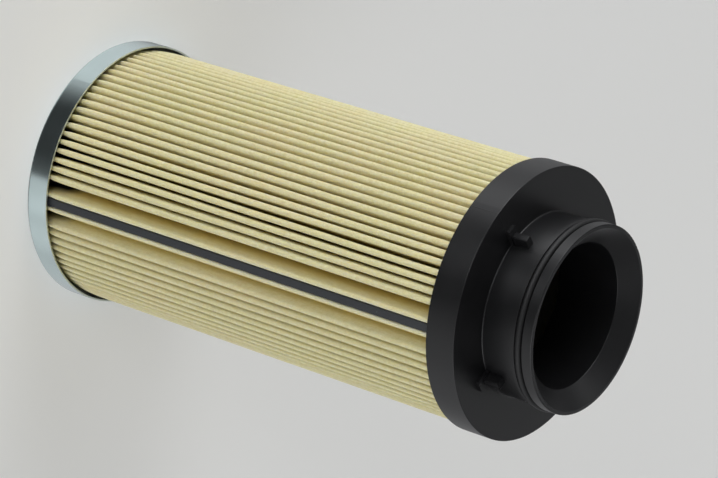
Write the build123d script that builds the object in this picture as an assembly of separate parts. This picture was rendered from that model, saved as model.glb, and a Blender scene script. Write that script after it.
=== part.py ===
"""Pleated filter element: a folded paper pack between a pressed steel cap and a moulded spigot cap.

Millimetres. The axis is Z. The closed steel cap stands on z = 0 and the spigot points up, with its
four lugs on the X and Y axes. Every height is stacked up from z = 0 in the order of assembly.
"""

from build123d import *
import os
from math import asin, degrees, sqrt

# Pressed steel cap at the closed end
CAP_RADIUS = 49.0  # outside of both end caps
STEEL_WALL = 0.6
STEEL_SKIRT = 9.5  # height of the cap's skirt
BEND_RADIUS = 0.5  # inside radius of each pressed corner
BOSS_HEIGHT = 2.0  # how far the middle is pressed up inside the core
CORE_CLEARANCE = 0.3  # between the core's bore and what centres it

# Folded paper
PLEATS = 84
PAPER = 0.6  # thickness of the sheet
PLEAT_LENGTH = 187.1
PLEAT_CLEARANCE = 0.1  # between the tips and the moulded cap's rim
TIP_ROUND = 1.12  # outside radius of a tip
FLANK_ROUND = 0.85  # the same on the two tips beside the seam
ROOT_ROUND = 0.25  # radius of the open side of a root
ROOT_CLEARANCE = 0.3  # between the roots and the core
ADHESIVE = 1.5  # bed under each end of the pack

# Seam and its clip
SEAM_ANGLE = 56.6
SEAM_STEP = 8.0  # angle from the tip beside the clip to the next one
LEG_GAP = 0.2  # between the two ends of the sheet
CLIP_WIDTH = 3.0
CLIP_WALL = 0.7
CLIP_DEPTH = 6.0
CLIP_DROP = 0.3  # the clip's back lies this far inside the tips
CLIP_CLEARANCE = 0.25  # between the clip and the fold on each side of it
LEG_CLEARANCE = 0.3  # between the sheet's ends and the clip's back

# Perforated core
CORE_WALL = 0.6
HOLE_RADIUS = 3.0
HOLES_ROUND = 8
HOLE_ROWS = 9
HOLE_MARGIN = 22.0  # from each end of the core to the nearest row of centres

# Moulded cap: rim and plate
RIM_HEIGHT = 11.6
RIM_WALL = 1.4
PLATE = 2.4
RIM_EDGE = 0.25

# Moulded cap: spigot, from its foot to its mouth
SPIGOT_HEIGHT = 20.7
SPIGOT_WALL = 7.0  # from the bore to the spigot's outside
FOOT_ROUND = 0.5
SHOULDER = 1.3  # length of the shoulder behind the groove
LAND_STEP = 0.7  # how far the shoulder and the land stand proud of the spigot
LAND_LENGTH = 3.8
LIP = 1.35  # flat end of the land round the flared mouth
LIP_EDGE = 0.3
GROOVE_WIDTH = 3.2
GROOVE_DEPTH = 2.05
BORE_RADIUS = 26.0
BORE_WALL = 2.2
BORE_EDGE = 0.3  # rounding where the flared mouth meets the bore
MOUTH_DEPTH = 5.6
TAIL = 6.7  # how far the bore tube reaches below the plate
TAIL_LEAD = 1.0  # lead-in at the ribs' lower ends
POCKET_ROOF = 2.3  # solid left between the pocket and the groove
RIBS = 8
RIB_WIDTH = 1.6
RIB_DEPTH = 1.9  # from the bore tube to the ribs' edges, which centre the core

# Moulded cap: lugs round the spigot's foot
LUGS = 4
LUG_WIDTH = 2.7
LUG_REACH = 3.75
LUG_HEIGHT = 7.0
PAD_WIDTH = 4.1
PAD_REACH = 6.4
PAD_HEIGHT = 1.3
LUG_EDGE = 0.5
ROOTED = 1.0  # how far a lug is sunk into the spigot and the plate

# O-ring
RING_SECTION = 2.62
RING_CLEARANCE = 0.02

# Heights and radii that follow
PACK_BOTTOM = STEEL_WALL + ADHESIVE
PACK_TOP = PACK_BOTTOM + PLEAT_LENGTH
PLATE_BOTTOM = PACK_TOP + ADHESIVE
PLATE_TOP = PLATE_BOTTOM + PLATE
MOUTH = PLATE_TOP + SPIGOT_HEIGHT
GROOVE_TOP = MOUTH - LAND_LENGTH
GROOVE_BOTTOM = GROOVE_TOP - GROOVE_WIDTH
SHOULDER_BOTTOM = GROOVE_BOTTOM - SHOULDER
TAIL_BOTTOM = PLATE_BOTTOM - TAIL
RIB_RADIUS = BORE_RADIUS + BORE_WALL + RIB_DEPTH
CORE_BORE = RIB_RADIUS + CORE_CLEARANCE
CORE_RADIUS = CORE_BORE + CORE_WALL
BOSS_RADIUS = CORE_BORE - CORE_CLEARANCE - BEND_RADIUS
SPIGOT_RADIUS = BORE_RADIUS + SPIGOT_WALL
LAND_RADIUS = SPIGOT_RADIUS + LAND_STEP
GROOVE_RADIUS = LAND_RADIUS - GROOVE_DEPTH
MOUTH_RADIUS = LAND_RADIUS - LIP
PLEAT_RADIUS = CAP_RADIUS - RIM_WALL - PLEAT_CLEARANCE
CLIP_RADIUS = PLEAT_RADIUS - CLIP_DROP


def turned(outline, rounds=()):
    """The (radius, height) outline turned about Z, with each (corner, radius) in rounds rounded."""
    face = make_face(Polyline(*outline, close=True))
    for corner, radius in rounds:
        face = fillet(face.vertices().sort_by_distance(corner)[0], radius)
    return revolve(Plane.XZ * face, Axis.Z)


def make_bottom_cap():
    """Steel disc with a skirt outside and a shallow boss in the middle, one sheet throughout."""
    inner = CAP_RADIUS - STEEL_WALL
    hollow = BOSS_RADIUS - STEEL_WALL
    top = BOSS_HEIGHT + STEEL_WALL
    outline = [
        (0, BOSS_HEIGHT),
        (hollow, BOSS_HEIGHT),
        (hollow, 0),
        (CAP_RADIUS, 0),
        (CAP_RADIUS, STEEL_SKIRT),
        (inner, STEEL_SKIRT),
        (inner, STEEL_WALL),
        (BOSS_RADIUS, STEEL_WALL),
        (BOSS_RADIUS, top),
        (0, top),
    ]
    outside = BEND_RADIUS + STEEL_WALL
    rounds = [
        ((hollow, BOSS_HEIGHT), BEND_RADIUS),
        ((hollow, 0), outside),
        ((CAP_RADIUS, 0), outside),
        ((inner, STEEL_WALL), BEND_RADIUS),
        ((BOSS_RADIUS, STEEL_WALL), BEND_RADIUS),
        ((BOSS_RADIUS, top), outside),
    ]
    return turned(outline, rounds)


def make_bed(bottom, outside, rounds=()):
    """Ring of adhesive round the core, one bed thick."""
    top = bottom + ADHESIVE
    outline = [(CORE_RADIUS, bottom), (outside, bottom), (outside, top), (CORE_RADIUS, top)]
    return turned(outline, rounds)


def make_bottom_adhesive():
    outside = CAP_RADIUS - STEEL_WALL
    return make_bed(STEEL_WALL, outside, [((outside, STEEL_WALL), BEND_RADIUS)])


def make_top_adhesive():
    return make_bed(PACK_TOP, CAP_RADIUS - RIM_WALL)


def make_core_tube():
    """Steel tube from the bottom cap to the moulded plate, with staggered rows of round holes."""
    height = PLATE_BOTTOM - STEEL_WALL
    base = Pos(0, 0, STEEL_WALL)
    upright = (Align.CENTER, Align.CENTER, Align.MIN)
    tube = Cylinder(CORE_RADIUS, height, align=upright) - Cylinder(CORE_BORE, height, align=upright)
    drill = Rot(0, 90, 0) * Cylinder(HOLE_RADIUS, CORE_RADIUS + CORE_WALL, align=upright)
    row_step = (height - 2 * HOLE_MARGIN) / (HOLE_ROWS - 1)
    hole_step = 360 / HOLES_ROUND
    holes = []
    for row in range(HOLE_ROWS):
        first = hole_step / 2 * (row % 2)
        for spot in PolarLocations(0, HOLES_ROUND, start_angle=first):
            holes.append(Pos(0, 0, HOLE_MARGIN + row * row_step) * spot * drill)
    return base * (tube - holes)


def make_folds():
    """Centres of the folds round the pack, in order, as (centre, mid radius, turn).

    The seam lies on +X. Tips turn left and roots turn right, and each end of the sheet comes down
    beside the seam and round a root of its own.
    """
    half = PAPER / 2
    tip_mid, flank_mid, root_mid = TIP_ROUND - half, FLANK_ROUND - half, ROOT_ROUND + half
    inmost = CORE_RADIUS + ROOT_CLEARANCE + half
    root_at = inmost + root_mid

    beside_clip = CLIP_WIDTH / 2 + CLIP_CLEARANCE + half
    flank = degrees(asin((beside_clip + flank_mid) / (PLEAT_RADIUS - half - flank_mid)))
    second = flank + SEAM_STEP
    pitch = (360 - 2 * second) / (PLEATS - 3)
    tips = [flank] + [second + k * pitch for k in range(PLEATS - 2)] + [360 - flank]

    leg = (LEG_GAP + PAPER) / 2
    seam_mid, seam_side = (beside_clip - leg) / 2, (beside_clip + leg) / 2
    seam_root = Vector(sqrt((inmost + seam_mid) ** 2 - seam_side**2), seam_side)

    folds = [(seam_root, seam_mid, -1)]
    for k, angle in enumerate(tips):
        mid = flank_mid if k in (0, PLEATS - 1) else tip_mid
        folds.append((Vector(PLEAT_RADIUS - half - mid, 0).rotate(Axis.Z, angle), mid, 1))
        if k < PLEATS - 1:
            between = (angle + tips[k + 1]) / 2
            folds.append((Vector(root_at, 0).rotate(Axis.Z, between), root_mid, -1))
    folds.append((Vector(seam_root.X, -seam_side), seam_mid, -1))
    return folds


def make_headings(folds):
    """Direction of each straight wall, with the two ends of the sheet first and last."""
    headings = [Vector(-1, 0)]
    for (start, near, turn), (end, far, _) in zip(folds, folds[1:]):
        gap = end - start
        lean = degrees(asin((near + far) / gap.length))
        headings.append(gap.rotate(Axis.Z, turn * lean).normalized())
    headings.append(Vector(1, 0))
    return headings


def sheet_side(folds, headings, shift):
    """One side of the sheet, shifted to the left of its middle line: arcs joined by straight walls."""
    end_x = CLIP_RADIUS - CLIP_WALL - LEG_CLEARANCE
    end_y = (LEG_GAP + PAPER) / 2
    edges = []
    last = Vector(end_x, end_y - shift)
    for (centre, mid, turn), before, after in zip(folds, headings, headings[1:]):
        radius = mid - turn * shift
        into, out_of = (centre - turn * radius * heading.rotate(Axis.Z, 90) for heading in (before, after))
        crown = centre + turn * radius * centre.normalized()
        edges += [Line(last, into), ThreePointArc(into, crown, out_of)]
        last = out_of
    edges.append(Line(last, Vector(end_x, -end_y + shift)))
    return edges


def make_filter_media():
    """The whole sheet, folded round the core, with both ends turned up into the seam clip."""
    folds = make_folds()
    headings = make_headings(folds)
    left = sheet_side(folds, headings, PAPER / 2)
    right = sheet_side(folds, headings, -PAPER / 2)
    ends = [Line(left[0] @ 0, right[0] @ 0), Line(left[-1] @ 1, right[-1] @ 1)]
    sheet = make_face(left + right + ends)
    return Pos(0, 0, PACK_BOTTOM) * Rot(0, 0, SEAM_ANGLE) * extrude(sheet, PLEAT_LENGTH)


def make_seam_clip():
    """U-shaped strip that grips both ends of the sheet, open towards the core."""
    upright = (Align.MAX, Align.CENTER, Align.MIN)
    slot = CLIP_WIDTH - 2 * CLIP_WALL
    strip = Pos(CLIP_RADIUS) * Box(CLIP_DEPTH, CLIP_WIDTH, PLEAT_LENGTH, align=upright)
    strip -= Pos(CLIP_RADIUS - CLIP_WALL) * Box(CLIP_DEPTH, slot, PLEAT_LENGTH, align=upright)
    back = strip.edges().filter_by(Axis.Z).group_by(Axis.X)[-1]
    return Pos(0, 0, PACK_BOTTOM) * Rot(0, 0, SEAM_ANGLE) * fillet(back, CLIP_WALL / 2)


def make_spigot_cap():
    """Moulded plate and rim with the spigot, its O-ring groove, the bore tube and the lugs."""
    rim_bottom = PLATE_TOP - RIM_HEIGHT
    rim_inner = CAP_RADIUS - RIM_WALL
    outline = [
        (BORE_RADIUS, TAIL_BOTTOM),
        (RIB_RADIUS - TAIL_LEAD, TAIL_BOTTOM),
        (RIB_RADIUS, TAIL_BOTTOM + TAIL_LEAD),
        (RIB_RADIUS, PLATE_BOTTOM),
        (rim_inner, PLATE_BOTTOM),
        (rim_inner, rim_bottom),
        (CAP_RADIUS, rim_bottom),
        (CAP_RADIUS, PLATE_TOP),
        (SPIGOT_RADIUS, PLATE_TOP),
        (SPIGOT_RADIUS, SHOULDER_BOTTOM),
        (LAND_RADIUS, SHOULDER_BOTTOM),
        (LAND_RADIUS, GROOVE_BOTTOM),
        (GROOVE_RADIUS, GROOVE_BOTTOM),
        (GROOVE_RADIUS, GROOVE_TOP),
        (LAND_RADIUS, GROOVE_TOP),
        (LAND_RADIUS, MOUTH),
        (MOUTH_RADIUS, MOUTH),
        (BORE_RADIUS, MOUTH - MOUTH_DEPTH),
    ]
    rounds = [
        ((CAP_RADIUS, rim_bottom), RIM_EDGE),
        ((CAP_RADIUS, PLATE_TOP), RIM_EDGE),
        ((SPIGOT_RADIUS, PLATE_TOP), FOOT_ROUND),
        ((LAND_RADIUS, MOUTH), LIP_EDGE),
        ((BORE_RADIUS, MOUTH - MOUTH_DEPTH), BORE_EDGE),
    ]
    return turned(outline, rounds) - make_pockets() + make_lugs()


def make_pockets():
    """Hollow between the bore tube and the spigot's wall, open below, with the ribs left standing."""
    inside = BORE_RADIUS + BORE_WALL
    roof = SHOULDER_BOTTOM + SHOULDER - POCKET_ROOF
    below = TAIL_BOTTOM - ROOTED
    outline = [
        (inside, below),
        (CORE_BORE, below),
        (CORE_BORE, PLATE_BOTTOM),
        (RIB_RADIUS, PLATE_BOTTOM),
        (RIB_RADIUS, roof),
        (inside, roof),
    ]
    outward = (Align.MIN, Align.CENTER, Align.MIN)
    rib = Pos(0, 0, below) * Box(CORE_RADIUS, RIB_WIDTH, roof, align=outward)
    return turned(outline) - [spot * rib for spot in PolarLocations(0, RIBS)]


def make_lugs():
    """Lugs on the spigot's foot, each a tall rib on a low pad."""
    outward = (Align.MIN, Align.CENTER, Align.MIN)
    start = Pos(SPIGOT_RADIUS - ROOTED, 0, PLATE_TOP - ROOTED)

    def block(reach, width, height):
        solid = Box(reach + ROOTED, width, height + ROOTED, align=outward)
        return start * fillet(solid.edges().filter_by(Axis.Z).group_by(Axis.X)[-1], LUG_EDGE)

    lug = block(LUG_REACH, LUG_WIDTH, LUG_HEIGHT) + block(PAD_REACH, PAD_WIDTH, PAD_HEIGHT)
    return [spot * lug for spot in PolarLocations(0, LUGS)]


def make_o_ring():
    """Round-section ring in the groove, against the shoulder."""
    section = RING_SECTION / 2
    centre = section + RING_CLEARANCE
    return Pos(0, 0, GROOVE_BOTTOM + centre) * Torus(GROOVE_RADIUS + centre, section)


NODES = {
    "bottom_cap": make_bottom_cap,
    "bottom_adhesive": make_bottom_adhesive,
    "core_tube": make_core_tube,
    "filter_media": make_filter_media,
    "seam_clip": make_seam_clip,
    "top_adhesive": make_top_adhesive,
    "spigot_cap": make_spigot_cap,
    "o_ring": make_o_ring,
}

os.makedirs("parts", exist_ok=True)
for node, make in NODES.items():
    export_step(make(), f"parts/{node}.step")
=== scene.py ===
"""Dresses the pleated filter element: paper pack, seam clip, plated steel, moulded cap and seal.

Metres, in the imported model's own frame: the closed steel cap stands on z = 0, the spigot points up
along +Z and its four lugs lie on the X and Y axes.
"""

import math

import bpy
from bpy.props import FloatProperty, FloatVectorProperty, IntProperty, PointerProperty
from mathutils import Matrix, Vector


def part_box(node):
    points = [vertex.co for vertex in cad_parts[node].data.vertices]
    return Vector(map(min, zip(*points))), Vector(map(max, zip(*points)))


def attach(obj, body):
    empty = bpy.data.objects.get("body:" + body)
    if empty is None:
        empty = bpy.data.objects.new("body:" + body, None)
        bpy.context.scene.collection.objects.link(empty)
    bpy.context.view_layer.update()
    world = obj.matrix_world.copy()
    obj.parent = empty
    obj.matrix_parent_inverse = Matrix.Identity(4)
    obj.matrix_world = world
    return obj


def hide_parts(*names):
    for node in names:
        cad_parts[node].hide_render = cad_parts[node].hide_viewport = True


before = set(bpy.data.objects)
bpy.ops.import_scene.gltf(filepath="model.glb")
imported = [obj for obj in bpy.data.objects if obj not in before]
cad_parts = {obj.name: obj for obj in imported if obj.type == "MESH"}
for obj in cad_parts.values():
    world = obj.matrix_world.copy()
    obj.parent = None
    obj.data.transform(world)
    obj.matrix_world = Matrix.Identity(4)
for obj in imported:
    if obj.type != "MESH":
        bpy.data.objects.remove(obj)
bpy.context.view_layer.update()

bl_info = {
    "name": "Pleated filter element",
    "version": (1, 0, 0),
    "blender": (4, 5, 0),
    "location": "View3D > Sidebar > Filter",
    "description": "Pleated paper pack, end caps and finishes of a filter cartridge",
    "category": "Object",
}

BODY = "root"
MM = 0.001


def radius_of(node):
    """Half the width of a node across X."""
    low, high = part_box(node)
    return (high.x - low.x) / 2


def heights_of(node):
    """Lowest and highest z of a node."""
    low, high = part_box(node)
    return low.z, high.z


PACK_BOTTOM, PACK_TOP = heights_of("filter_media")
PACK_RADIUS = radius_of("filter_media")
CORE_RADIUS = radius_of("core_tube")
CAP_RADIUS = radius_of("bottom_cap")
SKIRT_TOP = heights_of("bottom_cap")[1]
CLIP_LOW, CLIP_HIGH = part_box("seam_clip")
SEAM_ANGLE = math.atan2(CLIP_LOW.y + CLIP_HIGH.y, CLIP_LOW.x + CLIP_HIGH.x)


# Sizes and colours a user can change


def length(name, description, value):
    return FloatProperty(
        name=name, description=description, default=value, min=0.0, unit="LENGTH", precision=5
    )


def angular(name, description, value):
    return FloatProperty(name=name, description=description, default=value, subtype="ANGLE")


def colour(name, description, value):
    return FloatVectorProperty(
        name=name, description=description, default=value, size=3, min=0.0, max=1.0, subtype="COLOR"
    )


class PaperPackSizes(bpy.types.PropertyGroup):
    """Sizes of the folded sheet."""

    pleats: IntProperty(name="Pleats", description="Folded tips round the pack", default=84, min=8)
    paper: length("Paper", "Thickness of the sheet", 0.6 * MM)
    tip_round: length("Tip round", "Outside radius of a tip", 1.12 * MM)
    flank_round: length("Flank round", "The same beside the seam clip", 0.85 * MM)
    root_round: length("Root round", "Radius of the open side of a root", 0.25 * MM)
    root_gap: length("Root gap", "Between the roots and the core tube", 0.3 * MM)
    clip_side: length("Clip side", "From the seam to the folds beside the clip", 1.75 * MM)
    leg_gap: length("Leg gap", "Between the two ends of the sheet", 0.2 * MM)
    leg_drop: length("Leg drop", "The sheet's ends lie this far inside the tips", 1.3 * MM)
    seam_step: angular("Seam step", "From the tip beside the clip to the next", math.radians(8.0))
    pinch: length("Pinch", "How far the tips draw in at the steel cap", 1.6 * MM)
    pinch_length: length("Pinch length", "How far up the tips draw in", 16.0 * MM)
    wander: length("Wander", "How far a tip strays to either side", 0.24 * MM)
    sink: length("Sink", "How far a tip sinks below the others", 0.22 * MM)
    seed: IntProperty(name="Seed", description="Start of the pack's irregularity", default=11)


class FilterColours(bpy.types.PropertyGroup):
    """Base colours of the finishes."""

    paper: colour("Paper", "Cream filter paper", (0.655, 0.592, 0.310))
    paper_pale: colour("Pale paper", "Paler fibres", (0.765, 0.718, 0.470))
    # Painted shade: nearly black paper deep in the folds near the steel cap
    paper_shade_near_cap: colour("Paper shade near cap", "Deep in the folds near the steel cap", (0.030, 0.026, 0.018))
    paper_edge: colour("Paper edge", "Edges of the folds beside the clip", (0.720, 0.675, 0.455))
    zinc: colour("Zinc", "Bright plated steel", (0.750, 0.885, 0.875))
    # cut edge of the skirt, partly a painted highlight where the edge catches light
    zinc_cut_edge_and_glint: colour("Zinc edge", "Cut edge of the skirt", (0.740, 0.800, 0.740))
    nylon: colour("Nylon", "Black moulded nylon", (0.0040, 0.0040, 0.0044))
    rubber: colour("Rubber", "Black seal rubber", (0.0030, 0.0030, 0.0032))
    clip: colour("Clip", "Dark coated strip", (0.0195, 0.0215, 0.0240))
    clip_rubbed: colour("Rubbed clip", "Small rubbed specks on the strip", (0.160, 0.170, 0.190))
    core: colour("Core", "Plain steel of the core tube", (0.430, 0.425, 0.410))
    adhesive: colour("Adhesive", "Cured adhesive under the pleats", (0.030, 0.028, 0.026))
    floor: colour("Floor", "Pale studio floor", (0.700, 0.700, 0.695))
    floor_glow: colour("Floor glow", "Light that the floor gives off itself", (1.0, 1.0, 0.95))
    wall: colour("Wall", "Paint of the wall behind", (0.03, 0.03, 0.03))
    wall_glow: colour("Wall glow", "Light of the wall behind", (1.0, 1.0, 0.98))


# Node building


class Wire:
    """One socket's value. Arithmetic on it adds Math nodes to its tree."""

    def __init__(self, plan, socket):
        self.plan = plan
        self.socket = socket

    def __add__(self, other):
        return self.plan.math("ADD", self, other)

    def __sub__(self, other):
        return self.plan.math("SUBTRACT", self, other)

    def __rsub__(self, other):
        return self.plan.math("SUBTRACT", other, self)

    def __mul__(self, other):
        return self.plan.math("MULTIPLY", self, other)

    def __truediv__(self, other):
        return self.plan.math("DIVIDE", self, other)

    def __gt__(self, other):
        return self.plan.math("GREATER_THAN", self, other)

    def __lt__(self, other):
        return self.plan.math("LESS_THAN", self, other)

    __radd__ = __add__
    __rmul__ = __mul__


class Plan:
    """Builds one node tree."""

    def __init__(self, tree):
        self.tree = tree

    def node(self, kind, settings=(), inputs=()):
        """Adds a node, sets its own settings, then gives its sockets values or links."""
        made = self.tree.nodes.new(kind)
        for name, value in dict(settings).items():
            setattr(made, name, value)
        for key, value in dict(inputs).items():
            self.feed(made.inputs[key], value)
        return made

    def feed(self, socket, value):
        source = value.socket if isinstance(value, Wire) else value
        if isinstance(source, bpy.types.NodeSocket):
            self.tree.links.new(source, socket)
        else:
            socket.default_value = source

    def out(self, kind, output, settings=(), inputs=()):
        """A node's output as a value for arithmetic."""
        return Wire(self, self.node(kind, settings, inputs).outputs[output])

    def math(self, operation, *values):
        return self.out("ShaderNodeMath", 0, {"operation": operation}, dict(enumerate(values)))

    def pick(self, test, yes, no):
        """yes where test is 1 and no where it is 0."""
        return no + (yes - no) * test

    def between(self, value, low, high):
        """0 at low and 1 at high, with soft ends. High may be the smaller of the two."""
        return self.out(
            "ShaderNodeMapRange",
            0,
            {"interpolation_type": "SMOOTHSTEP"},
            {"Value": value, "From Min": low, "From Max": high},
        )

    def join_xyz(self, x, y, z):
        return self.out("ShaderNodeCombineXYZ", 0, (), {"X": x, "Y": y, "Z": z})

    def split_xyz(self, vector):
        made = self.node("ShaderNodeSeparateXYZ", (), {0: vector})
        return [Wire(self, made.outputs[axis]) for axis in "XYZ"]

    def noise(self, vector, scale, detail=2.0, roughness=0.5):
        return self.out(
            "ShaderNodeTexNoise",
            0,
            {"noise_dimensions": "3D"},
            {"Vector": vector, "Scale": scale, "Detail": detail, "Roughness": roughness},
        )


# Finishes


# Sockets of the Mix node when it mixes colours
MIX_FACTOR, MIX_FIRST, MIX_SECOND, MIX_RESULT = 0, 6, 7, 2


class Finish(Plan):
    """A material with one shader, built on Object coordinates."""

    def __init__(self, name, roughness=0.5, metallic=0.0, specular=0.5):
        material = bpy.data.materials.new(name)
        material.use_nodes = True
        super().__init__(material.node_tree)
        self.material = material
        self.shader = self.tree.nodes["Principled BSDF"]
        self.shader.inputs["Roughness"].default_value = roughness
        self.shader.inputs["Metallic"].default_value = metallic
        self.shader.inputs["Specular IOR Level"].default_value = specular
        self.place = self.out("ShaderNodeTexCoord", "Object")
        self.x, self.y, self.z = self.split_xyz(self.place)

    def stretched(self, x, y, z):
        """Object coordinates scaled by axis, to draw a texture out."""
        return self.out("ShaderNodeMapping", 0, (), {"Vector": self.place, "Scale": (x, y, z)})

    def round_axis(self):
        """Angle round the element's axis, from -pi to pi."""
        return self.math("ARCTAN2", self.y, self.x)

    def away(self):
        """Distance from the element's axis."""
        return self.math("SQRT", self.x * self.x + self.y * self.y)

    def mix(self, factor, first, second):
        """The first colour where factor is 0 and the second where it is 1."""
        inputs = {MIX_FACTOR: factor, MIX_FIRST: as_colour(first), MIX_SECOND: as_colour(second)}
        return self.node("ShaderNodeMix", {"data_type": "RGBA"}, inputs).outputs[MIX_RESULT]

    def rising(self, value, top, depths):
        """0 and 1 at two depths below a top."""
        start, full = depths
        return self.between(value, top - start, top - full)

    def near(self, value, centre, half_width):
        """1 close to centre, falling to 0 at half_width on either side."""
        return self.between(self.math("ABSOLUTE", value - centre), half_width, 0.0)

    def paint(self, base, roughness=None):
        self.feed(self.shader.inputs["Base Color"], base)
        if roughness is not None:
            self.feed(self.shader.inputs["Roughness"], roughness)

    def glow(self, tint, strength):
        """Even light that the surface gives off itself."""
        self.shader.inputs["Emission Color"].default_value = as_colour(tint)
        self.shader.inputs["Emission Strength"].default_value = strength

    def bump(self, height, depth):
        """Raises the surface by height, which runs from 0 to 1, times depth in metres."""
        made = self.node("ShaderNodeBump", (), {"Height": height, "Distance": depth, "Strength": 1.0})
        self.feed(self.shader.inputs["Normal"], made.outputs[0])


def as_colour(value):
    return value if isinstance(value, (Wire, bpy.types.NodeSocket)) else (*value, 1.0)


def toned(base, factor):
    """A colour made darker or lighter."""
    return tuple(part * factor for part in base)


def tinted(base, factors):
    """A colour with its red, green and blue each multiplied."""
    return tuple(part * factor for part, factor in zip(base, factors))


# Each pair is the distance where a mask starts and the distance where it is full
# painted shade deep in the folds fades out towards the tips over this depth
TIP_DEPTH = (9.0 * MM, 0.4 * MM)  # below the tips
# painted shade deep in the folds near the steel cap
SHADE_NEAR_CAP_HEIGHT = (9.0 * MM, 1.0 * MM)  # above the steel skirt
EDGE_REACH = (2.9 * MM, 2.3 * MM)  # from the seam's plane
EDGE_DEPTH = (2.5 * MM, 0.8 * MM)  # below the tips
# cut edge of the skirt, with a painted highlight
CUT_EDGE_AND_GLINT = (0.16 * MM, 0.06 * MM)  # below the top of the skirt

# Changes of the paper's red, green and blue
WARM = (1.04, 0.985, 1.04)
# painted shade deep in the folds: a warmer, less blue tint standing in for light bounced between the
# folds
FOLD_SHADE_TINT = (1.13, 1.00, 0.72)
SHEET_GLOW = (1.0, 0.85, 0.45)  # how far red, green and blue light pass into the sheet
SHEET_GLOW_DEPTH = 1.8 * MM


def paper_finish(colours):
    """Pressed fibre sheet: cloudy, with short fibres lying along and across the pleats."""
    paper = Finish("filter_paper", roughness=0.82, specular=0.25)
    clouds = paper.between(paper.noise(paper.place, 620.0, 4.0, 0.65), 0.30, 0.70)
    along = paper.noise(paper.stretched(1900.0, 1900.0, 420.0), 1.0, 3.0, 0.65)
    across = paper.noise(paper.stretched(900.0, 900.0, 2600.0), 1.0, 2.0, 0.6)
    fibres = paper.between(along * 0.6 + across * 0.4, 0.38, 0.66)
    tone = clouds * 0.45 + fibres * 0.55
    warmth = paper.between(paper.noise(paper.stretched(55.0, 55.0, 30.0), 1.0, 2.0), 0.35, 0.65)
    plain = paper.mix(warmth, colours.paper, tinted(colours.paper, WARM))
    pale = paper.mix(tone, plain, colours.paper_pale)
    outer = paper.mix(beside_clip(paper), pale, colours.paper_edge)
    # Painted shade: below the tips the paper takes a warm shade tint, fading to its own colour at the
    # tips
    depth = paper.rising(paper.away(), PACK_RADIUS, TIP_DEPTH)
    # Painted shade: deep in the folds near the steel cap the paper turns nearly black
    start, full = SHADE_NEAR_CAP_HEIGHT
    shade_near_cap = paper.between(paper.z, SKIRT_TOP + start, SKIRT_TOP + full) * (1.0 - depth)
    fold_shade_colour = paper.mix(shade_near_cap, tinted(colours.paper, FOLD_SHADE_TINT), colours.paper_shade_near_cap)
    paper.paint(paper.mix(depth, fold_shade_colour, outer))
    paper.shader.inputs["Subsurface Weight"].default_value = 0.5
    paper.shader.inputs["Subsurface Radius"].default_value = SHEET_GLOW
    paper.shader.inputs["Subsurface Scale"].default_value = SHEET_GLOW_DEPTH
    paper.bump(clouds * 0.4 + fibres * 0.6, 0.07 * MM)
    return paper.material


def beside_clip(paper):
    """1 on the edges of the two folds beside the clip."""
    across_seam = paper.y * math.cos(SEAM_ANGLE) - paper.x * math.sin(SEAM_ANGLE)
    close = paper.between(paper.math("ABSOLUTE", across_seam), *EDGE_REACH)
    return close * paper.rising(paper.away(), PACK_RADIUS, EDGE_DEPTH)


def zinc_finish(colours):
    """Bright zinc on rolled sheet: faint drawing marks round the skirt and cloudy passivation."""
    zinc = Finish("zinc_plate", metallic=1.0)
    marks = zinc.noise(zinc.stretched(60.0, 60.0, 4200.0), 1.0, 3.0, 0.6)
    clouds = zinc.noise(zinc.place, 85.0, 3.0, 0.55)
    speckle = zinc.noise(zinc.place, 2600.0, 2.0, 0.5)
    # The skirt's cut edge, with a painted highlight: another tint and rougher, to catch light as a
    # bevel would
    edge = zinc.rising(zinc.z, SKIRT_TOP, CUT_EDGE_AND_GLINT)
    plated = zinc.mix(clouds, toned(colours.zinc, 0.86), colours.zinc)
    sheen = 0.11 + clouds * 0.08 + speckle * 0.03
    zinc.paint(zinc.mix(edge, plated, colours.zinc_cut_edge_and_glint), sheen + edge * 0.3)
    zinc.bump(marks * 0.5 + speckle * 0.5, 0.006 * MM)
    return zinc.material


PARTING_LINE = math.radians(2.5) * CAP_RADIUS  # round the rim from the X axis
PARTING_LINE_HALF = 0.14 * MM


def nylon_finish(colours):
    """Moulded glass-filled nylon: fine grain, a cloudy skin and one raised parting line."""
    nylon = Finish("black_nylon", specular=0.40)
    grain = nylon.noise(nylon.place, 3800.0, 2.0, 0.6)
    clouds = nylon.noise(nylon.place, 120.0, 3.0, 0.6)
    skin = nylon.mix(clouds, colours.nylon, toned(colours.nylon, 1.9))
    nylon.paint(skin, 0.30 + clouds * 0.08 + grain * 0.06)
    line = nylon.near(nylon.round_axis() * nylon.away(), PARTING_LINE, PARTING_LINE_HALF)
    nylon.bump(grain * 0.12 + line * 0.9, 0.05 * MM)
    return nylon.material


def rubber_finish(colours):
    """Seal rubber, matt with a slightly dusty bloom."""
    rubber = Finish("seal_rubber", specular=0.4)
    bloom = rubber.noise(rubber.place, 900.0, 3.0, 0.6)
    skin = rubber.mix(bloom, colours.rubber, toned(colours.rubber, 2.2))
    rubber.paint(skin, 0.50 + bloom * 0.12)
    rubber.bump(bloom, 0.01 * MM)
    return rubber.material


def clip_finish(colours):
    """Dark coated strip, brushed along its length, with small rubbed specks."""
    clip = Finish("clip_coating", specular=0.45)
    brushed = clip.noise(clip.stretched(2400.0, 2400.0, 130.0), 1.0, 3.0, 0.6)
    specks = clip.between(clip.noise(clip.place, 700.0, 3.0, 0.7), 0.70, 0.78)
    body = clip.mix(brushed, colours.clip, toned(colours.clip, 1.8))
    clip.paint(clip.mix(specks, body, colours.clip_rubbed), 0.40 + brushed * 0.15)
    clip.bump(brushed, 0.012 * MM)
    return clip.material


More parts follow.
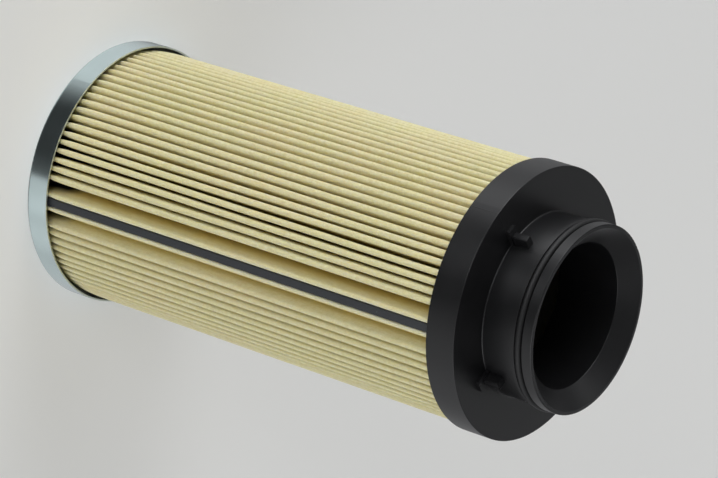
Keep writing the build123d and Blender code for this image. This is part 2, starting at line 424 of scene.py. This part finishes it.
def core_finish(colours):
    """Rolled steel with a thin oil film."""
    core = Finish("core_steel", metallic=1.0)
    clouds = core.noise(core.place, 160.0, 3.0, 0.6)
    scratches = core.noise(core.stretched(1500.0, 1500.0, 60.0), 1.0, 3.0, 0.6)
    film = core.mix(clouds, toned(colours.core, 0.7), colours.core)
    core.paint(film, 0.28 + scratches * 0.2)
    core.bump(scratches, 0.01 * MM)
    return core.material


def adhesive_finish(colours):
    """Cured adhesive with a rippled skin."""
    bed = Finish("cured_adhesive", roughness=0.35)
    ripples = bed.noise(bed.place, 500.0, 2.0, 0.5)
    bed.paint(bed.mix(ripples, colours.adhesive, toned(colours.adhesive, 1.6)))
    bed.bump(ripples, 0.08 * MM)
    return bed.material


FLOOR_GLOW = 0.25
WALL_GLOW = 0.62


def floor_finish(colours):
    """Pale matt studio floor, lit a little from within so that it stays even."""
    floor = Finish("studio_floor", roughness=0.9, specular=0.2)
    mottle = floor.noise(floor.place, 6.0, 2.0, 0.5)
    floor.paint(floor.mix(mottle, toned(colours.floor, 0.97), colours.floor))
    floor.glow(colours.floor_glow, FLOOR_GLOW)
    return floor.material


def backdrop_finish(colours):
    """Pale wall that glows evenly, as a lit paper roll does."""
    wall = Finish("studio_backdrop", roughness=0.9, specular=0.0)
    mottle = wall.noise(wall.place, 3.0, 2.0, 0.5)
    wall.paint(wall.mix(mottle, toned(colours.wall, 2 / 3), colours.wall))
    wall.glow(colours.wall_glow, WALL_GLOW)
    return wall.material


def dress(node, material):
    """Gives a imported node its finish."""
    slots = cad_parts[node].data.materials
    slots.clear()
    slots.append(material)


# Paper pack

ARC_POINTS = 8  # points round each fold
RINGS = 31  # rows of points along the pleats
FINE_RINGS = 11  # of them, close together where the tips draw in
FINE_START = 5.2 * MM  # height of the first of those rows
FINE_STEP = 0.9 * MM
WHOLE = 0.001  # keeps a whole number from being rounded down
FREE_FOLDS = (2.5, 5.0)  # folds from the seam where the straying starts and is full
SIDE_LANE, SIDE_WAVES = 7.31, 9.0  # noise to the side: steps between tips, and waves a metre
SINK_LANE, SINK_WAVES = 5.17, 14.0  # the same for tips that sink
SINK_SEED = 40  # keeps the sinking apart from the straying
NOISE_REACH = 4.0  # stretches the noise, which stays near its middle
NARROWING, NARROWEST = 1.6, 0.5  # how fast and how far the tips narrow as they draw in


class PackPlan(Plan):
    """Geometry Nodes tree of the folded sheet: a flat grid bent round every fold in turn."""

    SIZES = (
        ("Pleats", "NodeSocketInt"),
        ("Tip radius", "NodeSocketFloat"),
        ("Core radius", "NodeSocketFloat"),
        ("Paper", "NodeSocketFloat"),
        ("Tip round", "NodeSocketFloat"),
        ("Flank round", "NodeSocketFloat"),
        ("Root round", "NodeSocketFloat"),
        ("Root gap", "NodeSocketFloat"),
        ("Clip side", "NodeSocketFloat"),
        ("Leg gap", "NodeSocketFloat"),
        ("Leg drop", "NodeSocketFloat"),
        ("Seam angle", "NodeSocketFloat"),
        ("Seam step", "NodeSocketFloat"),
        ("Bottom", "NodeSocketFloat"),
        ("Length", "NodeSocketFloat"),
        ("Pinch", "NodeSocketFloat"),
        ("Pinch length", "NodeSocketFloat"),
        ("Wander", "NodeSocketFloat"),
        ("Sink", "NodeSocketFloat"),
        ("Seed", "NodeSocketInt"),
        ("Finish", "NodeSocketMaterial"),
    )

    def __init__(self):
        tree = bpy.data.node_groups.new("folded_sheet", "GeometryNodeTree")
        super().__init__(tree)
        tree.interface.new_socket("Geometry", in_out="OUTPUT", socket_type="NodeSocketGeometry")
        for name, kind in self.SIZES:
            tree.interface.new_socket(name, in_out="INPUT", socket_type=kind)
        entry = self.node("NodeGroupInput")
        self.size = {name: Wire(self, entry.outputs[name]) for name, _ in self.SIZES}
        self.half = self.size["Paper"] * 0.5
        self.set_middles()
        self.build()

    def set_middles(self):
        """Radii to the middle of the sheet, and where the first fold beside the clip lies."""
        size, half = self.size, self.half
        self.tip_mid = size["Tip round"] - half
        self.flank_mid = size["Flank round"] - half
        self.root_mid = size["Root round"] + half
        inmost = size["Core radius"] + size["Root gap"] + half
        self.root_at = inmost + self.root_mid
        beside = size["Clip side"] + half
        self.leg = (size["Leg gap"] + size["Paper"]) * 0.5
        self.seam_mid = (beside - self.leg) * 0.5
        self.seam_side = (beside + self.leg) * 0.5
        reach = inmost + self.seam_mid
        self.seam_at = self.math("SQRT", reach * reach - self.seam_side * self.seam_side)
        flank_at = size["Tip radius"] - half - self.flank_mid
        self.flank = self.math("ARCSINE", (beside + self.flank_mid) / flank_at)
        self.second = self.flank + size["Seam step"]
        self.pitch = (2 * math.pi - 2 * self.second) / (size["Pleats"] - 3)

    def tip_angle(self, tip):
        """Angle of a tip from the seam, by its number."""
        angle = self.second + (tip - 1) * self.pitch
        angle = self.pick(tip < 0.5, self.flank, angle)
        return self.pick(tip > self.size["Pleats"] - 1.5, 2 * math.pi - self.flank, angle)

    def fold(self, number):
        """Centre, mid radius and turn of a fold: even numbers are roots and odd numbers tips."""
        place = (number - 1) * 0.5
        before = self.tip_angle(self.math("FLOOR", place))
        after = self.tip_angle(self.math("CEIL", place))
        angle = (before + after) * 0.5
        tip = self.math("MODULO", number, 2.0)
        first = number < 0.5
        last = number > 2 * self.size["Pleats"] - 0.5
        flank = (number < 1.5) + (number > 2 * self.size["Pleats"] - 1.5)
        tip_mid = self.pick(flank, self.flank_mid, self.tip_mid)
        tip_at = self.size["Tip radius"] - self.half - tip_mid
        mid = self.pick(tip, tip_mid, self.pick(first + last, self.seam_mid, self.root_mid))
        away = self.pick(tip, tip_at, self.root_at)
        x = self.pick(first + last, self.seam_at, away * self.math("COSINE", angle))
        y = self.pick(first + last, self.seam_side * (first - last), away * self.math("SINE", angle))
        return x, y, mid, tip * 2 - 1

    def heading(self, start, end):
        """Direction of the straight wall from one fold to the next, touching both."""
        gap_x, gap_y = end[0] - start[0], end[1] - start[1]
        span = self.math("SQRT", gap_x * gap_x + gap_y * gap_y)
        lean = self.math("ARCSINE", (start[2] + end[2]) / span)
        return self.math("ARCTAN2", gap_y, gap_x) + start[3] * lean

    def build(self):
        size = self.size
        folds = size["Pleats"] * 2 + 1
        columns = folds * ARC_POINTS + 2
        grid = self.node(
            "GeometryNodeMeshGrid",
            (),
            {"Size X": 1.0, "Size Y": 1.0, "Vertices X": columns, "Vertices Y": RINGS},
        )
        across, up, _ = self.split_xyz(self.out("GeometryNodeInputPosition", 0))
        column = self.math("ROUND", (across + 0.5) * (columns - 1))
        step = column - 1
        number = self.math("FLOOR", step / ARC_POINTS + WHOLE)
        along = (step - number * ARC_POINTS) / (ARC_POINTS - 1)
        here, past, ahead = self.fold(number), self.fold(number - 1), self.fold(number + 1)
        final = number > folds - 1.5
        before = self.pick(number < 0.5, math.pi, self.heading(past, here))
        after = self.pick(final, 0.0, self.heading(here, ahead))
        swing = self.math("FLOORED_MODULO", here[3] * (after - before), 2 * math.pi)
        facing = before + here[3] * swing * along
        x = here[0] + here[3] * here[2] * self.math("SINE", facing)
        y = here[1] - here[3] * here[2] * self.math("COSINE", facing)

        start, end = column < 0.5, column > columns - 1.5
        leg_at = size["Tip radius"] - size["Leg drop"]
        x = self.pick(start + end, leg_at, x)
        y = self.pick(start + end, self.leg * (start - end), y)
        z = size["Bottom"] + self.row_height(self.math("ROUND", (up + 0.5) * (RINGS - 1)))
        moved = self.node(
            "GeometryNodeSetPosition",
            (),
            {"Geometry": grid.outputs["Mesh"], "Position": self.stray(x, y, z, number)},
        )
        smooth = self.node(
            "GeometryNodeSetShadeSmooth", (), {"Geometry": moved.outputs[0], "Shade Smooth": True}
        )
        painted = self.node(
            "GeometryNodeSetMaterial", (), {"Geometry": smooth.outputs[0], "Material": size["Finish"]}
        )
        real = self.node("GeometryNodeRealizeInstances", (), {"Geometry": painted.outputs[0]})
        self.node("NodeGroupOutput", (), {0: real.outputs[0]})

    def row_height(self, row):
        """Height of a row above the bottom: close together where the tips draw in."""
        fine_end = FINE_RINGS + 1
        coarse_part = self.size["Length"] - FINE_START - FINE_RINGS * FINE_STEP
        coarse_step = coarse_part / (RINGS - 1 - fine_end)
        below = self.math("MINIMUM", row, 1.0) * FINE_START
        fine = self.math("MINIMUM", self.math("MAXIMUM", row - 1, 0.0), FINE_RINGS) * FINE_STEP
        above = self.math("MAXIMUM", row - fine_end, 0.0) * coarse_step
        return below + fine + above

    def stray(self, x, y, z, number):
        """Moves each tip a little, but not beside the clip, and draws its lower end in."""
        size = self.size
        away = self.math("SQRT", x * x + y * y)
        outer = self.between(away, self.root_at, size["Tip radius"])
        tip = self.math("FLOOR", number * 0.5)
        last = size["Pleats"] * 2
        start, full = FREE_FOLDS
        free = self.between(number, start, full) * self.between(number, last - start, last - full)
        lane = self.join_xyz(tip * SIDE_LANE + size["Seed"], z * SIDE_WAVES, 0.0)
        side = (self.noise(lane, 1.0, 1.0) - 0.5) * NOISE_REACH * size["Wander"] * free
        lane = self.join_xyz(tip * SINK_LANE, z * SINK_WAVES, size["Seed"] + SINK_SEED)
        drop = self.noise(lane, 1.0, 1.0) * size["Sink"] * free
        drawn = (size["Bottom"] + size["Pinch length"] - z) / size["Pinch length"]
        drawn = self.math("MAXIMUM", drawn, 0.0)
        pinch = drawn * drawn * drawn * outer
        narrowed = self.math("MINIMUM", pinch * NARROWING, NARROWEST)
        middle = self.tip_angle(tip)
        beside = self.math("ARCTAN2", y, x) - middle + math.pi
        beside = self.math("FLOORED_MODULO", beside, 2 * math.pi) - math.pi
        angle = middle + beside * (1.0 - narrowed * self.math("MODULO", number, 2.0))
        angle = angle + size["Seam angle"] + side * outer / away
        away = away - drop * outer - pinch * size["Pinch"]
        return self.join_xyz(away * self.math("COSINE", angle), away * self.math("SINE", angle), z)


def make_paper_pack(sizes, material):
    """The sheet as one closed mesh."""
    plan = PackPlan()
    mesh = bpy.data.meshes.new("filter_paper")
    pack = bpy.data.objects.new("filter_paper", mesh)
    bpy.context.scene.collection.objects.link(pack)
    values = {
        "Pleats": sizes.pleats,
        "Tip radius": PACK_RADIUS,
        "Core radius": CORE_RADIUS,
        "Paper": sizes.paper,
        "Tip round": sizes.tip_round,
        "Flank round": sizes.flank_round,
        "Root round": sizes.root_round,
        "Root gap": sizes.root_gap,
        "Clip side": sizes.clip_side,
        "Leg gap": sizes.leg_gap,
        "Leg drop": sizes.leg_drop,
        "Seam angle": SEAM_ANGLE,
        "Seam step": sizes.seam_step,
        "Bottom": PACK_BOTTOM,
        "Length": PACK_TOP - PACK_BOTTOM,
        "Pinch": sizes.pinch,
        "Pinch length": sizes.pinch_length,
        "Wander": sizes.wander,
        "Sink": sizes.sink,
        "Seed": sizes.seed,
        "Finish": material,
    }
    bend = pack.modifiers.new("folds", "NODES")
    bend.node_group = plan.tree
    for item in plan.tree.interface.items_tree:
        if item.item_type == "SOCKET" and item.in_out == "INPUT":
            bend[item.identifier] = values[item.name]
    wall = pack.modifiers.new("thickness", "SOLIDIFY")
    wall.thickness = sizes.paper
    wall.offset = 0.0
    wall.use_even_offset = True
    return bake(pack)


def bake(piece):
    """Turns a piece and its modifiers into a plain mesh."""
    bpy.context.view_layer.update()
    graph = bpy.context.evaluated_depsgraph_get()
    plain = bpy.data.meshes.new_from_object(piece.evaluated_get(graph))
    piece.modifiers.clear()
    piece.data = plain
    return piece


# Stage

CAMERA_PLACE = Vector((0.8635, 0.5539, 0.8074))
CAMERA_FORWARD = Vector((-0.6963, -0.4491, -0.5599))
CAMERA_UP = Vector((0.6598, -0.7076, -0.2530))
CAMERA_LENS = 174.5  # mm
SENSOR_WIDTH = 36.0  # mm


def add_camera():
    """Long-lens camera, rolled so that the element lies across the picture."""
    data = bpy.data.cameras.new("camera")
    data.lens = CAMERA_LENS
    data.sensor_width = SENSOR_WIDTH
    data.clip_start, data.clip_end = 0.05, 50.0
    camera = bpy.data.objects.new("camera", data)
    back = -CAMERA_FORWARD.normalized()
    right = CAMERA_UP.cross(back).normalized()
    up = back.cross(right)
    turned = Matrix((right, up, back)).transposed().to_4x4()
    camera.matrix_world = Matrix.Translation(CAMERA_PLACE) @ turned
    bpy.context.scene.collection.objects.link(camera)
    bpy.context.scene.camera = camera
    bpy.context.scene.view_settings.view_transform = "Standard"


FLOOR_HALF = 6.0
BACKDROP_SIDES = 64
BACKDROP_RADIUS = 5.0
BACKDROP_HEIGHT = 4.0


def stage_piece(name, points, faces, material):
    """A plain mesh of the stage."""
    mesh = bpy.data.meshes.new(name)
    mesh.from_pydata(points, [], faces)
    mesh.materials.append(material)
    piece = bpy.data.objects.new(name, mesh)
    bpy.context.scene.collection.objects.link(piece)
    return piece


def add_floor(material):
    """Wide square floor under the steel cap, which gloss sees through to the room's low lights."""
    corners = [Vector((x, y, 0.0)) * FLOOR_HALF for x, y in ((-1, -1), (1, -1), (1, 1), (-1, 1))]
    floor = stage_piece("floor", corners, [(0, 1, 2, 3)], material)
    floor.visible_glossy = False


def add_backdrop(material):
    """Round wall far behind the element, which lights nothing and casts no shadow."""
    points, faces = [], []
    for step in range(BACKDROP_SIDES):
        turn = 2 * math.pi * step / BACKDROP_SIDES
        across = (BACKDROP_RADIUS * math.cos(turn), BACKDROP_RADIUS * math.sin(turn))
        points += [Vector((*across, 0.0)), Vector((*across, BACKDROP_HEIGHT))]
        after = (step + 1) % BACKDROP_SIDES
        faces.append((2 * step, 2 * step + 1, 2 * after + 1, 2 * after))
    backdrop = stage_piece("backdrop", points, faces, material)
    backdrop.visible_diffuse = False
    backdrop.visible_glossy = False
    backdrop.visible_shadow = False
    backdrop.visible_transmission = False


# Soft lights of the room: azimuth, elevation and half width in degrees, then strength.
# The floor hides what is below it from all but gloss, so a low light is for the gloss alone.
ROOM_LIGHTS = (
    (-37.0, -13.0, 25.0, 3.7),  # main light, as the gloss sees it
    (-37.0, 15.0, 22.0, 6.3),  # main light above the floor
    (13.0, -8.0, 17.0, 7.0),  # small light beside the camera, as the gloss sees it
    (15.0, 15.0, 16.0, 3.5),  # small light above the floor
    (104.0, 0.0, 50.0, 0.90),  # pale bench
    (70.0, -36.0, 26.0, 0.34),  # near end of the bench
    (160.0, -40.0, 50.0, 0.28),  # bench in the element's shade
    (97.0, 22.0, 32.0, 1.2),  # fill
    (-70.0, 30.0, 18.0, 1.1),  # gloss in the mouth
    (-158.0, 2.0, 18.0, 2.6),  # light from behind
    (-72.0, -35.0, 52.0, 0.42),  # pale wall
)
ROOM_LEVEL = 0.24
ROOM_TINT = (0.97, 0.98, 1.0, 1.0)
# Dark quarter: azimuths where it starts and is full at each end, depths z, and how dark it is
DARK_FROM = (math.radians(-43.0), math.radians(-1.0))
DARK_TO = (math.radians(62.0), math.radians(59.0))
DARK_BELOW = (-0.40, -0.50)
DARKNESS = 0.85


def add_room():
    """Soft lights in an even room, with a dark quarter low down that only polished metal picks up."""
    world = bpy.data.worlds.new("room")
    bpy.context.scene.world = world
    world.use_nodes = True
    room = Plan(world.node_tree)
    facing = room.out("ShaderNodeTexCoord", "Generated")
    x, y, z = room.split_xyz(facing)
    light = ROOM_LEVEL
    for azimuth, elevation, half_width, strength in ROOM_LIGHTS:
        turn, rise = math.radians(azimuth), math.radians(elevation)
        aim = (math.cos(rise) * math.cos(turn), math.cos(rise) * math.sin(turn), math.sin(rise))
        vectors = {0: facing, 1: aim}
        closeness = room.out("ShaderNodeVectorMath", "Value", {"operation": "DOT_PRODUCT"}, vectors)
        light = room.between(closeness, math.cos(math.radians(half_width)), 1.0) * strength + light
    turn = room.math("ARCTAN2", y, x)
    quarter = room.between(turn, *DARK_FROM) * room.between(turn, *DARK_TO)
    low = room.between(z, *DARK_BELOW)
    background = world.node_tree.nodes["Background"]
    background.inputs["Color"].default_value = ROOM_TINT
    room.feed(background.inputs["Strength"], light * (1.0 - quarter * low * DARKNESS))


# Operators


class FILTER_OT_paper_pack(bpy.types.Operator):
    """Folds the paper round the core tube"""

    bl_idname = "filter.paper_pack"
    bl_label = "Paper pack"

    def execute(self, context):
        scene = context.scene
        pack = make_paper_pack(scene.filter_pack, paper_finish(scene.filter_colours))
        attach(pack, BODY)
        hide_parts("filter_media")
        return {"FINISHED"}


class FILTER_OT_seam(bpy.types.Operator):
    """Finishes the clip over the paper's seam"""

    bl_idname = "filter.seam"
    bl_label = "Seam clip"

    def execute(self, context):
        dress("seam_clip", clip_finish(context.scene.filter_colours))
        return {"FINISHED"}


class FILTER_OT_steel(bpy.types.Operator):
    """Finishes the plated cap, the core tube and the adhesive beds"""

    bl_idname = "filter.steel"
    bl_label = "Steel cap and core"

    def execute(self, context):
        colours = context.scene.filter_colours
        dress("bottom_cap", zinc_finish(colours))
        dress("core_tube", core_finish(colours))
        bed = adhesive_finish(colours)
        dress("bottom_adhesive", bed)
        dress("top_adhesive", bed)
        return {"FINISHED"}


class FILTER_OT_spigot(bpy.types.Operator):
    """Finishes the moulded cap and its seal"""

    bl_idname = "filter.spigot"
    bl_label = "Spigot cap and seal"

    def execute(self, context):
        colours = context.scene.filter_colours
        dress("spigot_cap", nylon_finish(colours))
        dress("o_ring", rubber_finish(colours))
        return {"FINISHED"}


class FILTER_OT_stage(bpy.types.Operator):
    """Adds the floor, the backdrop, the room's lights and the camera"""

    bl_idname = "filter.stage"
    bl_label = "Stage"

    def execute(self, context):
        add_floor(floor_finish(context.scene.filter_colours))
        add_backdrop(backdrop_finish(context.scene.filter_colours))
        add_room()
        add_camera()
        return {"FINISHED"}


class FILTER_PT_panel(bpy.types.Panel):
    """Lists the element's pieces in the sidebar"""

    bl_label = "Pleated filter element"
    bl_space_type = "VIEW_3D"
    bl_region_type = "UI"
    bl_category = "Filter"

    def draw(self, context):
        for operator in OPERATORS:
            self.layout.operator(operator.bl_idname)
        for group in (context.scene.filter_pack, context.scene.filter_colours):
            for name in group.__annotations__:
                self.layout.prop(group, name)


OPERATORS = (
    FILTER_OT_paper_pack,
    FILTER_OT_seam,
    FILTER_OT_steel,
    FILTER_OT_spigot,
    FILTER_OT_stage,
)
CLASSES = (PaperPackSizes, FilterColours, *OPERATORS, FILTER_PT_panel)


def register():
    for kind in CLASSES:
        bpy.utils.register_class(kind)
    bpy.types.Scene.filter_pack = PointerProperty(type=PaperPackSizes)
    bpy.types.Scene.filter_colours = PointerProperty(type=FilterColours)


def unregister():
    del bpy.types.Scene.filter_colours
    del bpy.types.Scene.filter_pack
    for kind in reversed(CLASSES):
        bpy.utils.unregister_class(kind)


def main():
    register()
    bpy.ops.filter.paper_pack()
    bpy.ops.filter.seam()
    bpy.ops.filter.steel()
    bpy.ops.filter.spigot()
    bpy.ops.filter.stage()


if __name__ == "__main__":
    main()
